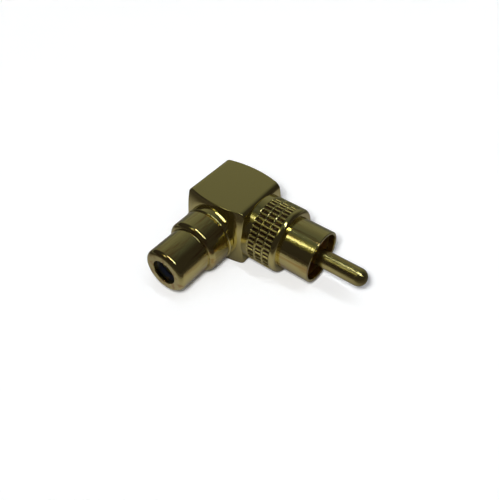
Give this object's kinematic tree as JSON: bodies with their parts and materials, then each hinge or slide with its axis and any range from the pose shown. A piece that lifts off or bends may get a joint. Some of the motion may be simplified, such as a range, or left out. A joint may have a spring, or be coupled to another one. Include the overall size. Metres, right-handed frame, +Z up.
{
  "type": "right-angle rca adapter",
  "caption": "Right-angle coaxial audio adapter: round plug with a centre pin on one side of a square elbow, barrel socket on the other, knurled grip collar.",
  "frame": {"origin": "centre of the elbow's flat base, straight below the point where the plug's and the socket's axes cross", "axes": "+X along the plug axis, towards the tip of the centre pin; -Y along the socket axis, out of its mouth; +Z up, away from the flat base"},
  "size_m": [0.0336, 0.0253, 0.0122],
  "materials": {
    "gold_bar": "gold plated, polished",
    "gold_knurl": "gold plated, knurled",
    "gold_shell": "gold plated, polished",
    "gold_pin": "gold plated, polished",
    "gold_barrel": "gold plated, polished",
    "gold_spring": "gold plated, drawn",
    "plug_polymer": "moulded, satin",
    "socket_polymer": "moulded, satin"
  },
  "bodies": {
    "root": {"elbow_body": "gold_bar", "knurled_collar": "gold_knurl", "plug_shell": "gold_shell", "plug_insulator": "plug_polymer", "centre_pin": "gold_pin", "socket_barrel": "gold_barrel", "socket_insulator": "socket_polymer", "socket_contact": "gold_spring"}
  },
  "joints": []
}
